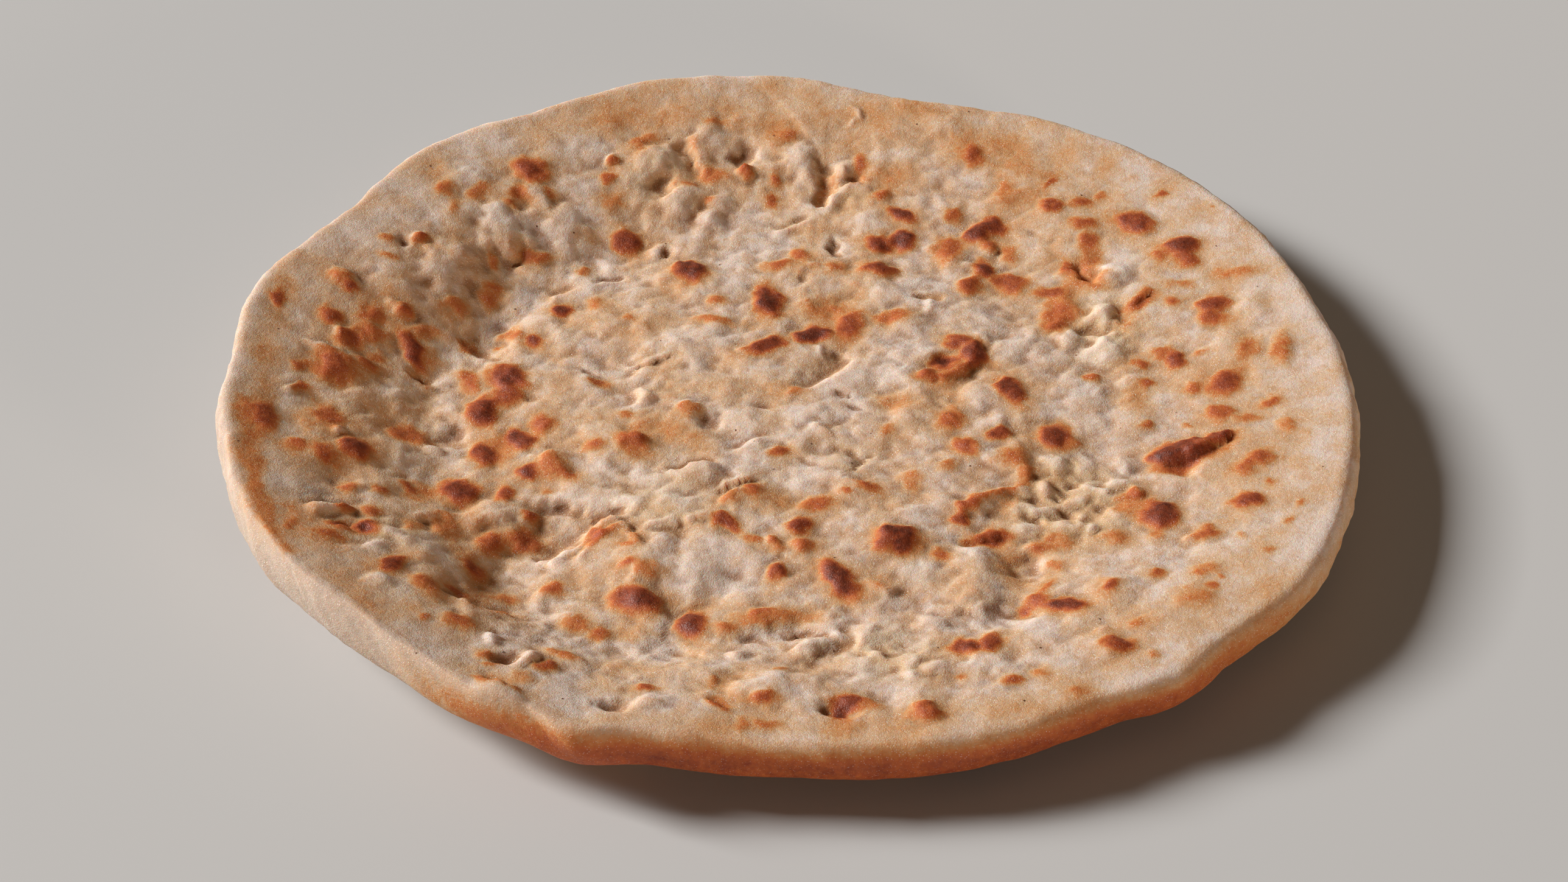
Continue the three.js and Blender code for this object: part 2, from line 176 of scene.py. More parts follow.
# Soft golden areas, in the same order of values; some also darken places that lie in shadow, as painted
# shade
WASHES = (
    (-35, 76.5, 12, 9, 0, 0.2), (26, 76, 10, 9, 0, 0.12), (18.5, 63, 15, 14, 0, 0.2),
    (31, 74, 12, 12, 0, 0.2), (47, 68, 18, 9, 0, 0.16), (55.5, 64, 14, 7, 60, 0.2),
    (-62, 33.5, 12, 8, 0, 0.15), (19, -1, 14, 9, -20, 0.3), (6.5, 25.5, 16, 12, 0, 0.3),
    (57, 1, 12, 14, 0, 0.24), (-70, 18, 30, 22, 0, 0.08), (-75, -12, 24, 26, 0, 0.1),
    (42, 50, 36, 26, 10, 0.08), (-10, 66, 44, 24, 0, 0.1), (72, 8, 26, 34, 0, 0.08),
    (-50, -2, 20, 50, 0, 0.1), (-68, -6, 50, 110, 5, 0.08), (-50, -46, 10, 22, 10, 0.2),
    (-41, -29, 8, 10, 0, 0.25), (8, 78, 110, 26, -3, 0.17), (34, 72, 50, 18, -25, 0.24),
    (-36, 76, 40, 14, 25, 0.2), (-24, -8, 18, 16, 0, 0.24), (-16, -12, 14, 12, 0, 0.16),
    (-4, -26, 14, 14, 0, 0.26), (9, -50, 12, 9, 0, 0.22), (-10, -52, 12, 8, 0, 0.12),
    (35, -46, 9, 22, 0, 0.16), (36, -26, 8, 16, 0, 0.26), (46, -30, 26, 26, 0, 0.16),
    (12, 30, 10, 10, 0, 0.14), (-7, 22, 9, 9, 0, 0.18), (48, 33, 7, 10, 0, 0.3), (52, 39, 7, 9, 0, 0.4),
    (56, 24, 6, 12, 0, 0.2), (44, 20, 6, 8, 0, 0.2), (76, 8, 8, 8, 0, 0.2), (82, -14, 10, 16, 0, 0.12),
    (42, -76, 46, 10, 28, 0.14), (0, -86, 70, 9, 0, 0.14), (-36, 46, 8, 8, 0, 0.25),
    (4, -55, 10, 8, 0, 0.14), (-64, -9, 9, 10, 0, 0.32), (-25, -58, 10, 7, 0, 0.24),
    (28.5, -66, 8, 6, 0, 0.35), (42, -37, 11, 9, 0, 0.5), (55, -28, 10, 12, 0, 0.46),
    (-80, -13, 9, 12, 0, 0.3), (-76, 2, 12, 14, 0, 0.34), (-22, 10, 36, 32, 0, 0.09),
    (-44, 52, 16, 16, 0, 0.16), (-48, -12, 8, 14, 0, 0.35), (-60.5, -25, 7, 9, 0, 0.35),
)

# Lines of browning: width and level, then the points; those along the inside of the left and lower-left rim
# are partly painted shade on that inner slope
BROWN_LINES = (
    (2, 0.4, ((-89.5, -10), (-88, -23.6), (-85.5, -36), (-81.5, -47), (-78, -53))),
    (3, 0.22, ((-86, 24), (-87.5, 0), (-87.5, -22))),
    (6, 0.2, ((-83, -34), (-77, -46), (-68, -58), (-60, -66))),
    (0.8, 0.45, ((-79.5, -55), (-77, -60))),
)

# Pale lumps (height above 0) and dents (below 0): x, y, length, width, turn in degrees, height
LUMPS = (
    # back left
    (-23.5, 66, 13, 7, 28, 1.3), (-18.8, 56.5, 11, 7, 55, 1.2), (-15, 72, 10, 9, 90, 0.7),
    (-50.5, 43, 11, 9, 60, 1.3), (-38.5, 45.5, 16, 10, 90, 1.2), (-20, 47, 12, 12, 0, 0.7),
    (-14.3, 52.3, 5.5, 5.5, 0, 1.2), (-12.5, 56.5, 5.5, 5, 0, 0.9), (-8.6, 64.8, 5.5, 3, 80, 1.1),
    (-44.5, 53, 8.5, 4.5, -68, 1.1), (-51, 48, 7, 6, 0, 0.7), (-45.5, 43, 4, 3, 0, 0.8),
    (-32, 65, 3.5, 3, 90, 0.7), (-23.5, 43.5, 5, 4, 30, 0.8), (-65, 37.5, 3.5, 3, 0, 0.7),
    (-57.5, 36, 9, 7, 0, 0.8), (-53, 33, 3, 4, 90, 0.7), (-57.5, 56, 9, 9, 0, 0.7),
    (-23.5, 59.5, 8, 5, 60, -1.2), (-8.5, 69.5, 8, 5, 60, -1.4), (-47.8, 53, 4, 8, 10, -0.8),
    (-47.5, 39, 5, 4, 0, -0.8), (-67, 36, 5, 3, 95, -0.9), (-21.3, 43.3, 2.5, 3.5, 20, -0.8),
    # back
    (2.5, 66.5, 13, 7, -75, 1.4), (9, 64.5, 7, 4, 90, 0.9), (12, 79.5, 5, 2, -50, 0.6),
    (11, 77.5, 3.5, 1.5, 30, 0.5), (4, 38.5, 3, 2, 0, 0.5), (23.8, 26.8, 5.5, 2.5, 80, 0.8),
    (19.5, 9, 20, 10, 90, 0.9), (20.5, 20, 10, 9, 0, 0.8), (27, 77, 9, 8, 0, 0.7),
    (34.5, 43.5, 3, 3, 0, 0.5), (26.5, 56, 9, 8, 0, 0.8), (46, 52, 10, 10, 0, 0.8),
    (31, 39.5, 3, 2, 0, 0.5), (8, 44.5, 9, 2.5, 93, -0.8), (3, 35.5, 9, 3, 45, -0.5),
    # left
    (-43.5, 22, 10, 7, 65, 0.6), (-40.5, 30, 10, 7, 60, 0.6), (-37, 35.5, 9, 9, 0, 0.8),
    (-52, -18, 10, 7, 90, 0.5), (-44, -28, 18, 8, 0, 1.3), (-30, 12, 18, 15, 90, -1.2),
    (-59, 32, 11, 9, 60, 0.9), (-31.5, -10, 14, 10, 90, 0.9), (-17.5, 9, 12, 8, 90, 0.5),
    (-15.5, 18, 16, 14, 90, 1), (-74.5, -14.3, 3.5, 2.5, -20, 0.9), (-59, -13, 3.5, 2.5, 0, 0.8),
    (-79, 7, 4, 6, 80, 0.8), (-82.5, -5.5, 2.5, 2.5, 0, 0.7), (-76, 12.5, 4, 4, 0, 0.6),
    (-67, 20.5, 5, 4, 0, 0.9), (-65, 1, 9, 9, 0, 0.8), (-76.5, 25, 6, 4.5, -30, 0.7),
    (-57, -8, 10, 9, 90, -1.6), (-67.5, -40, 3, 2.5, 0, -0.9),
    # middle
    (-15, -20.5, 10, 6, 10, 0.6), (-13, -19.5, 6, 4, 0, 0.4), (-7, -27, 10, 6, 0, 0.5),
    (-24, -41, 20, 14, 0, 1.3), (-26, -26.5, 7, 5, 0, 0.6), (-17.5, -46, 14, 8, 90, 0.7),
    (20, -5, 16, 9, 90, 0.8), (5, 13.5, 4.5, 2.5, 100, 0.6), (-9, 13, 2.5, 2.5, 0, 0.6),
    (33, 17.5, 4, 4, 0, 0.8), (-17.5, -2, 5, 4, 0, 0.5), (-5, -12.5, 8, 6, 20, 0.4),
    (-9, -10, 18, 12, 0, -0.6), (2.5, -25, 12, 12, 0, -0.9), (12, -13, 12, 10, 0, -0.5),
    (31.5, 1.5, 9, 9, 0, 0.8), (43.5, 13, 8, 8, 0, 0.7), (-26, -11, 4, 3, 0, 0.6),
    (-3.3, -38, 3.5, 3, 0, 0.6), (1, -38, 3.5, 3, 0, 0.5), (48, -3.5, 10, 10, 90, 1),
    (48.5, 4, 14, 11, 90, 1.1), (55, -3, 14, 14, 0, 0.6), (-13.8, -5.5, 6, 5, 0, -1.1),
    (-5, -1, 5, 2.5, 0, -0.6), (8.5, 2, 2.5, 2.5, 0, -0.7), (10.3, 1.5, 2, 2, 0, -0.6),
    (11, -2, 4, 3, 0, -0.5), (26, 10.8, 5.5, 4, 30, -1.2), (-31, -29.3, 2, 2, 0, -1.2),
    # right
    (56, 35, 8, 7, 60, 1.1), (53.8, 24, 7, 6, 0, 1.4), (47.5, 18, 7, 5.5, 10, 1.2),
    (53.5, 14, 10, 8.5, 0, 1.4), (43.5, -17, 6.5, 6, 0, 0.9), (48.3, -17, 6, 4.5, 90, 0.8),
    (54.8, -17, 5.5, 4.5, 90, 0.9), (53, -22, 4, 3.5, 0, 0.8), (50.5, -24.5, 4, 3.5, 0, 0.8),
    (56, -24.5, 3.5, 3.5, 0, 0.8), (38, -24, 4, 3.5, 0, 0.8), (41, -23.3, 3.5, 3.5, 0, 0.8),
    (36.5, -29, 5, 4, 0, 0.7), (40.3, -28.8, 5, 4.5, 0, 0.8), (37.5, -33.5, 5, 3.8, 0, 0.7),
    (43, -33.8, 7, 5, 10, 0.8), (46.8, -31.5, 4.5, 2.5, 80, 0.7), (48.5, -33.5, 4.5, 2.2, 70, 0.7),
    (39, -37, 4.5, 2.2, 0, 0.7), (46, -26.5, 4.5, 4, 0, 0.9), (64, -38, 3, 2.2, 30, 0.6),
    (56.5, 5.5, 5, 5, 0, 0.5), (67, 3.5, 2.5, 2.5, 0, 0.4), (73.5, 13, 10, 8, 90, 0.6),
    (78.5, 23, 11, 7, 90, 0.6), (39.5, -25.8, 2.2, 2, 0, -0.9), (42.8, -25.3, 2.5, 2, 0, -0.9),
    (46, -22, 3, 2.5, 0, -0.9), (44.5, -29.5, 2.5, 3, 0, -0.9), (38.8, -31.2, 3, 1.5, 0, -0.7),
    (63.5, -18.5, 8, 6, 0, -1.2), (50.5, -28.5, 3, 2.5, 0, -0.8),
    # front left
    (-74, -36.8, 8.5, 3, 24, 1), (-63.5, -40.5, 10, 3.5, -25, 0.7), (-64.5, -55, 6, 5, 90, 0.8),
    (-46.5, -65.8, 4, 2.8, 100, 1), (-41.3, -71, 7, 3.2, 65, 1.1), (-36, -54, 6, 3.5, 0, 0.5),
    (-46, -54.7, 5, 4, 0, -0.7), (-45, -82.5, 10, 8, 0, 1.2), (-44, -71.8, 6, 5, 0, -1.3),
    (-71, -39.5, 5, 2, 10, -0.7),
    # front
    (5.5, -56.5, 8, 6, 0, 1), (7.5, -60, 5, 4, 0, 0.8), (3, -63.3, 8, 4.5, 42, 1.2),
    (11, -59.5, 7, 3.5, 110, 0.8), (12.7, -66, 6, 1.8, -62, 0.8), (21.5, -57.5, 7, 6, 0, 0.7),
    (18, -68, 5, 5, 0, 0.8), (22, -70, 5.5, 4, 30, 0.9), (18.3, -72, 4, 3.5, 0, 0.7),
    (-8.3, -65.5, 5, 3.5, 35, 0.8), (-1, -74.5, 18, 13, 0, 1.4), (-5.5, -76.5, 10, 9, 0, 1),
    (30, -70, 12, 10, 0, 0.8), (19.5, -79, 9, 9, 0, 0.5), (34.5, -55, 11, 9, 60, -1.2),
    (19.5, -44.5, 11, 11, 0, 0.7), (-18.5, -63, 14, 9, 90, -0.9), (-21, -80.5, 7, 4.5, 0, 0.9),
    (29, -43, 12, 9, 20, 0.6), (31, -28.3, 5, 4, 0, 0.6), (14.5, -48, 6.5, 4.2, 0, 0.4),
    (20.5, -81, 6, 5.5, 0, 0.6), (-27.5, -81.3, 6, 4, 0, -1.4), (7, -80.8, 7, 5.5, 0, -1.8),
    (-6.5, -60.5, 6, 4, 0, -0.8), (0.5, -59.3, 5, 1.8, 10, -0.8), (4, -58.5, 8, 5, 20, -0.7),
    (47.5, -66, 9, 8, 0, 0.9),
)

# Lines of relief: height on the left of the line and on its right, reach on each side, browning from
# 0 to 1, then the points. Unlike heights make a step or a lip, like ones a ridge or a groove.
LINES = (
    # left slope
    (-0.8, 0.6, 2.2, 1.6, 0.3, ((-65.5, 8), (-63.5, 6.5), (-61.5, 5.8), (-59.5, 5.8))),
    (-0.5, 0.7, 1.5, 1.6, 0, ((-78, -38.3), (-74, -36.2), (-70, -34.8))),
    (-0.7, 0.5, 1.2, 1.5, 0.4, ((-74, -41.5), (-70.5, -41), (-67, -42))),
    (0.5, -0.6, 2, 5, 0, ((-61, -34.3), (-57, -32.3), (-53.5, -31.6), (-50, -31.3), (-46.5, -29.8))),
    (-0.5, -0.5, 0.8, 0.8, 0, ((-79.5, -55), (-77, -60))),
    (-1.7, -1.7, 6, 3, 0, (
        (-54, 14), (-50.5, 18), (-50, 22), (-51, 26), (-52, 29), (-51, 32), (-49.5, 36), (-48.5, 40))),
    (-2.1, -2.1, 11, 4.5, 0.1, (
        (-39, -25), (-40.5, -33), (-44, -37), (-46.5, -43), (-49, -49), (-50.5, -56))),
    (-0.8, -0.8, 4, 3.5, 0, ((-72.5, -22), (-73, -30), (-72.5, -37), (-67.5, -46))),
    # back
    (0.5, -1.1, 3, 1.8, 0.15, ((-20, 73), (-18, 70), (-17, 66.5), (-16.5, 62.5))),
    (-0.9, 0.8, 1.6, 2.5, 0, ((3.5, 55.5), (6.5, 58.2), (9.5, 60), (12, 62.5), (13.8, 62.8))),
    (-1.2, -1.2, 1.4, 2.8, 0.15, ((3.5, 69.5), (6, 66), (6.7, 61.5), (4.5, 56))),
    (-0.7, -0.7, 1.4, 1.8, 0.2, ((12.7, 67), (12.8, 64), (11.5, 61))),
    (-0.6, 0.6, 1.4, 2, 0, ((-4, 50), (0, 52), (3.5, 53.3))),
    (-0.6, 0.7, 1.5, 1.5, 0, ((-34.5, 34), (-31.5, 35), (-28.5, 36))),
    (-0.5, 0.4, 1.2, 2, 0.2, ((-43, 28.5), (-41, 31), (-37, 33))),
    (-0.7, -0.7, 0.8, 0.8, 0.2, ((19.5, 30.8), (22.5, 29.6), (25, 29.2), (27.5, 30.5))),
    # middle
    (-0.9, 0.5, 3.5, 3, 0, ((-0.5, 4.5), (2.5, 3.7), (5, 5.8), (8, 9), (11, 12.5))),
    (0.7, 0.7, 1, 1, 0, ((3, -6), (5, -8.2), (6.5, -11))),
    (-0.9, -0.9, 0.9, 0.9, 0, ((8.5, -13.5), (11, -14.2), (14, -14.5))),
    (-0.8, -0.8, 0.8, 0.8, 0, ((11, -14), (11, -16), (10, -19))),
    (-0.5, -0.5, 0.8, 0.8, 0.1, ((27, -5.5), (27.5, -9))),
    (0.9, 0.9, 0.9, 0.9, 0, ((-25.5, 4.5), (-24, -1.5))),
    (-0.6, 0.7, 2, 3, 0, ((-20.5, -19.8), (-17, -17.6), (-12.5, -17))),
    (-0.4, 0.5, 2, 3, 0, ((-10, -13.2), (-7.5, -10.8), (-5, -9.5))),
    (-0.7, -0.7, 0.7, 0.7, 0, ((-37, 11.3), (-35, 9), (-34.3, 7))),
    (0.5, -0.4, 0.8, 1, 0, ((-28.5, 9.3), (-24, 11), (-20, 13))),
    (0.8, 0.8, 1.3, 1.3, 0.5, ((20.5, 5.3), (25, 6.6), (28, 8), (30.2, 10.5), (31.2, 14), (29, 16.5))),
    (0.6, 0.6, 1.2, 1.2, 0, ((33, 9.2), (35, 6.5), (37, 3.8))),
    # the large fold in front of the middle, and the small ones beside it
    (-1.1, 1.2, 3.2, 3, 0, (
        (-41, -40), (-38, -38.3), (-36, -36), (-34, -33), (-32, -31), (-29.5, -29.8), (-27, -30.5))),
    (-0.5, 0.8, 1.5, 2.5, 0.15, (
        (-36, -41), (-33.5, -37.5), (-31.5, -34.5), (-29, -32.8), (-27, -33.2), (-23.5, -38.8))),
    (0.5, -0.7, 2, 2.5, 0, ((-25, -34), (-21.5, -33.8), (-19, -32.3), (-18, -30.8))),
    (0.4, -0.5, 1.5, 2, 0, ((-17.5, -33), (-15, -31.5), (-12, -31.5))),
    (0.6, -0.4, 1, 1.5, 0.1, ((-13, -24.5), (-10, -23.2), (-8, -22), (-5.5, -20))),
    (-0.5, 0.6, 2, 4, 0, ((-12.5, -28.8), (-10.5, -25.5), (-8.5, -23.2))),
    (-0.4, 0.5, 1, 1.5, 0.1, ((8.5, -21), (10.5, -22), (13, -22))),
    # right
    (-1.6, 0.8, 2.2, 3, 0.5, ((49, 39), (50.3, 34), (52.5, 33.5), (55, 36.5))),
    (0.7, -0.6, 1, 1.3, 0.5, ((57.5, 26), (60.5, 28), (63.5, 30))),
    (-0.9, -0.9, 0.9, 0.9, 0, ((48.5, 20.5), (52, 19.8), (55, 21.2))),
    (-1, -1, 1.2, 1.4, 0.2, ((56.8, 27), (56.5, 24.5), (56, 21))),
    (0.9, 0.9, 1.2, 1.2, 0.42, ((39, -17), (38, -21.5), (36, -24), (32.5, -25.2), (29, -27), (26.5, -30.5))),
    (0.9, -0.5, 1.5, 1.8, 0.55, ((61, -17.8), (65.5, -16.8), (69.5, -13.5), (73.5, -11.2))),
    (-0.5, -0.5, 0.8, 0.8, 0, ((52.5, -26), (54, -28))),
    (-0.5, -0.5, 0.8, 1, 0.2, ((58, -34.5), (58.8, -37.5))),
    # front
    (0.5, -0.5, 1.5, 1.5, 0.4, ((26, -37), (30, -35.8), (33, -35), (36, -36))),
    (-1, 1, 9, 9, 0, ((34.5, -37), (34, -44), (32, -50), (31, -56))),
    (-0.7, -0.7, 1.2, 3, 0, ((37, -37), (38.5, -40), (38.5, -43), (37.5, -46.5))),
    (-0.6, 0.5, 1.2, 1.5, 0.4, ((-14, -79), (-12, -80.3), (-10, -81.8))),
    (-0.5, 0.5, 1, 2, 0.3, ((-48, -77), (-45, -79.3), (-42, -80.5))),
)

# Where crumbly potato shows through: x, y, length, width, turn in degrees, strength
POTATO = (
    (45, -27, 26, 28, 0, 1.5), (14, -65, 20, 20, 0, 0.7), (-22, -27, 24, 18, 0, 0.6),
    (53, 20, 18, 26, 0, 1), (-22, 62, 20, 20, 0, 0.6), (10, -15, 12, 12, 0, 0.7),
    (-66, -40, 22, 12, 0, 0.7), (8, 57, 16, 8, 20, 0.8), (-24, 1, 6, 4, 0, 0.8), (0, 52, 10, 5, 28, 0.6),
    (-74, -37, 9, 4, 24, 0.8), (3.5, -63, 9, 9, 0, 0.6),
)

# Browning of the wall, every 15 degrees from +X: real browning of the edge, with painted shade that makes
# the front and front-right wall darker than the lit left one
WALL_BROWNING_AND_SHADE = (
    0.2, 0.15, 0.1, 0.11, 0.12, 0.12, 0.12, 0.11, 0.1, 0.08, 0.06, 0.04,
    0.03, 0.03, 0.05, 0.08, 0.5, 0.74, 0.7, 0.72, 0.7, 0.56, 0.3, 0.22,
)
# How far the wall is darkened with painted shade, a duller dough colour, every 30 degrees from +X
WALL_PAINTED_SHADE = (0, 0, 0, 0, 0, 0.5, 0.8, 1, 0.8, 0, 0, 0)
# The same painted shade for the rim inside it, and where on the outline's radius this starts and is full
RIM_PAINTED_SHADE = (0, 0, 0, 0, 0, 0.35, 0.2, 0.6, 0.1, 0, 0, 0)
PAINTED_SHADE_STARTS = 0.8
PAINTED_SHADE_FULL = 0.93
# How far the rim's crest stands above that of the solid, in the same way, and how far in this reaches
RIM_LIP = (0, 0, 0, 0, 0, 0.2, 0.6, 1.3, 0.3, -0.5, -0.8, -0.4)
LIP_REACH = 0.07
# How much squarer the wall's shoulder is than that of the solid, in the same way
SHOULDER = (0, 0, 0, 0, 0, 0, 0.2, 0.5, 0.4, 0, 0, 0)
# How far the dough's unevenness moves the wall, and how far the wall is drawn in to make room for it
WALL_WAVES = 0.9
WALL_DRAWN_IN = 0.3

# Griddle marks under the bread, scattered by a seeded rule, with widths as shares of their length
MARKS_SEED = 7
MARKS_COUNT = 150
MARKS_REACH = 88
MARKS_SIZES = (3, 10)
MARKS_WIDTHS = (0.5, 1)
MARKS_LEVELS = (0.3, 0.9)
# Where the underside's dents start to fade and its browning starts, in shares of the outline's radius
UNDER_DENTS_FADE = 0.9
UNDER_BROWN_STARTS = 0.8

# Unevenness of the dough: cell size and height of each scale
UNEVENNESS = ((24, 0.6), (11, 0.9), (5.5, 0.65), (2.4, 0.31), (1.3, 0.15))
# Puffs with creases between them: cell size and height of each scale
PUFFS = ((9, 0.7), (4.5, 0.28))
# Crumbs where potato shows, in the same way
CRUMBS = ((5, 1.3), (2.5, 0.6))
# Small folds of the dough: cell size, depth of the crease, height of the lip beside it
FOLDS = ((13, 0.2, 0.22), (7, 0.1, 0.12))
CREASE_WIDTH = 0.06
LIP_WIDTH = 0.3
# They lie in patches of so many cells, where a noise rises through these levels
FOLD_PATCH = 1.7
FOLD_RISE = (-0.05, 0.3)
# Blisters and lumps: how far their relief reaches, as a share of the oval, and how fast it falls
SPOT_SPREAD = 1.25
SPOT_FALL = 1.4
LUMP_SPREAD = 1.15
LUMP_FALL = 1.8
# Height of a blister as a share of its width, and the part of it that the palest one has
BLISTER_RISE = 0.19
PALE_RISE = 0.35
# Uneven edges of spots and lumps: cell size and reach of each scale
WARPS = ((6, 1.3), (2.4, 1), (1.2, 0.5))
# How ovals fade, in shares of the oval: where a pale one starts, how much later a dark one does, the end
SPOT_FADE = (0.13, 0.38, 1.28)
MARKS_FADE = (0.2, 0.45, 1.3)
WASH_FADE = (0.1, 0, 1.1)
LUMP_FADE = (0.2, 0, 1.1)
POTATO_FADE = (0.3, 0, 1.1)
# Golden halo round a browned spot: level beside it and how far it reaches
HALO_LEVEL = 0.3
HALO_REACH = 1.1
# Faint browning all over: mean level, then cell size and height of each scale
FAINT_LEVEL = 0.07
FAINT_NOISE = ((16, 0.18), (6, 0.2))
# What lumps lose for each millimetre of height: a share of the washes, up to a limit, and faint browning
WASH_PALING = 0.25
PALING_LIMIT = 0.5
FAINT_PALING = 0.08
# The most that washes, halos and faint browning add up to
SOFT_LIMIT = 0.45
# Gold on the tops of small swellings: level, then cell size and levels of the noise that shares it out
GOLD_LEVEL = 0.2
GOLD_PATCH = 14
GOLD_RISE = (-0.3, 0.4)
# Relief lines: half the width of the step as a share of the reach, and how far each end fades out
LINE_BLEND = 0.5
LINE_TAPER = 2
# How far past the end of a line its browning would reach
BROWN_PAST_END = 0.5
# Where on the right the dough gets smoother, where it is smoothest, and by how much
CALM_RIGHT = (25, 70, 0.45)
# The same towards the rim, in shares of the outline's radius
CALM_RIM = (0.75, 0.95, 0.6)
# Hollows and crests are found from the heights this far off, and are full at this difference
HOLLOW_REACH = 1.8
HOLLOW_DEPTH = 0.5

# Seeds of the noises: each scale of one takes the next number
WARP_RIGHT_SEED = 11
WARP_UP_SEED = 15
DOUGH_SEED = 20
UNDER_SEED = 40
FOLD_SEED = 50
FOLD_PATCH_SEED = 55
FAINT_SEED = 60
GOLD_SEED = 66
PUFF_SEED = 70
CRUMB_SEED = 75

# Colours as they look in plain daylight, except three that paint light and shade: a pale highlight on
# crests, a warm shade in hollows and a duller shade by the left rim and wall
DOUGH = (225, 203, 187)
DOUGH_WARM = (203, 157, 117)
POTATO_COLOUR = (217, 187, 142)
BRAN = (120, 78, 50)
# Partly real white flour, partly painted glints of fine grains
FLOUR_AND_GLINT = (246, 236, 224)
# Painted highlight: paler dough on the crests of the relief
PAINTED_CREST_HIGHLIGHT = (234, 218, 206)
# Painted shade: a duller, darker dough colour on the left and lower-left rim and wall
PAINTED_SHADE_DOUGH = (194, 170, 150)
# Painted shade: warm, darker dough in the hollows and creases of the relief
PAINTED_HOLLOW_SHADE = (152, 94, 44)
TOAST_STOPS = (
    (0.0, DOUGH), (0.15, (216, 179, 143)), (0.3, (209, 153, 101)), (0.45, (201, 124, 65)),
    (0.6, (187, 97, 45)), (0.8, (147, 66, 33)), (1.0, (99, 44, 28)),
)
# Noises of the crust from fine grain to wide blotches: cell size in millimetres, detail, roughness
CRUST_NOISES = ((0.22, 1.0, 0.5), (0.7, 2.0, 0.55), (1.6, 3.0, 0.55), (4.0, 3.0, 0.55), (20.0, 3.0, 0.55))
# Specks: cell size in millimetres, radius as a share of it, share of the cells that have one
BRAN_SPECKS = (3.2, 0.08, 0.15)
FLOUR_AND_GLINT_SPECKS = (0.42, 0.28, 0.9)
# The part of a speck's radius that is full before it fades
SPECK_CORE = 0.6
# Fine relief and finish of the crust
BUMP = {"Strength": 0.7, "Distance": 0.1 * MILLIMETRE}
FINISH = {
    "Specular IOR Level": 0.35, "Subsurface Weight": 0.7, "Subsurface Scale": 1.8 * MILLIMETRE,
    "Subsurface Radius": (1.0, 0.4, 0.2),
}
PALE_ROUGHNESS = 0.78
BROWN_ROUGHNESS = 0.5

# The camera looks along +Y, down on the bread
CAMERA_ELEVATION = 38
CAMERA_DISTANCE = 720
CAMERA_LENS = 100
CAMERA_AIM = (-1.3, -10.8, 9)

# A key light from the left and a little behind, and a weak fill from the front right: side (-1 for left),
# degrees towards the back, elevation, watts, size in metres, colour
LIGHTS = {
    "key": (-1, 14, 31, 2200, 3.6, (1, 1, 1)),
    "fill": (1, -52, 7, 460, 1.8, (1, 0.85, 0.71)),
}
LIGHT_DISTANCE = 12
AMBIENT = 0.08
AMBIENT_COLOUR = (1, 0.7, 0.48, 1)
# A plain pale floor, in metres
FLOOR_HALF = 4
FLOOR_COLOUR = (0.56, 0.55, 0.535, 1)
FLOOR_ROUGHNESS = 0.85

HALF_THICKNESS = THICKNESS / 2
NOISE_GRID = 256
FULL_TURN_DEGREES = 360

# Numbers of the colour sockets of a mix node
MIX_SHARE = 0
MIX_FIRST = 6
MIX_SECOND = 7
MIX_RESULT = 2


def smoothstep(low, high, value):
    share = np.clip((value - low) / (high - low), 0, 1)
    return share * share * (3 - 2 * share)


def around(values, turn):
    """A smooth closed curve through values that are spread evenly round a full turn."""
    values = np.asarray(values, float)
    place = np.asarray(turn) % 1 * len(values)
    index = np.floor(place).astype(int)
    step = place - index
    before, here, after, beyond = (values[(index + k) % len(values)] for k in (-1, 0, 1, 2))
    bend = 2 * before - 5 * here + 4 * after - beyond
    twist = 3 * here - before - 3 * after + beyond
    return here + step * ((after - before) + step * (bend + step * twist)) / 2


def noise(x, y, cell, seed):
    """Smooth noise from about -0.7 to 0.7 over cells of that size."""
    angles = np.random.default_rng(seed).uniform(0, 2 * np.pi, (NOISE_GRID, NOISE_GRID))
    i, j = np.floor(x / cell).astype(int), np.floor(y / cell).astype(int)
    across, along = x / cell - i, y / cell - j

    def corner(right, up):
        angle = angles[(i + right) % NOISE_GRID, (j + up) % NOISE_GRID]
        return np.cos(angle) * (across - right) + np.sin(angle) * (along - up)

    ease_x, ease_y = smoothstep(0, 1, across), smoothstep(0, 1, along)
    low = corner(0, 0) * (1 - ease_x) + corner(1, 0) * ease_x
    high = corner(0, 1) * (1 - ease_x) + corner(1, 1) * ease_x
    return low * (1 - ease_y) + high * ease_y


def warped(x, y):
    """The same places pushed about a little, so that ovals get uneven edges."""
    right = sum(reach * noise(x, y, cell, WARP_RIGHT_SEED + k) for k, (cell, reach) in enumerate(WARPS))
    up = sum(reach * noise(x, y, cell, WARP_UP_SEED + k) for k, (cell, reach) in enumerate(WARPS))
    return x + right, y + up


def oval(x, y, centre_x, centre_y, length, width, turn):
    """0 in the middle of an oval, 1 on its edge and more outside it."""
    angle = math.radians(turn)
    right, up = x - centre_x, y - centre_y
    along = right * math.cos(angle) + up * math.sin(angle)
    across = up * math.cos(angle) - right * math.sin(angle)
    return np.hypot(2 * along / length, 2 * across / width)


def ovals(x, y, rows, spread=1):
    """For each oval of a table: its width, its last value, and how far out in it the places lie."""
    for centre_x, centre_y, length, width, turn, value in rows:
        yield width, value, oval(x, y, centre_x, centre_y, spread * length, spread * width, turn)


def faded(level, edge, start, growth, end):
    """Level of an oval at places in it: the darker it is, the farther out it stays so."""
    return level * (1 - smoothstep(start + growth * level, end, edge))


def strongest(x, y, rows, fade):
    """The highest level that the ovals of a table have at each place."""
    shown = np.zeros(x.shape)
    for _, level, edge in ovals(x, y, rows):
        shown = np.maximum(shown, faded(level, edge, *fade))
    return shown


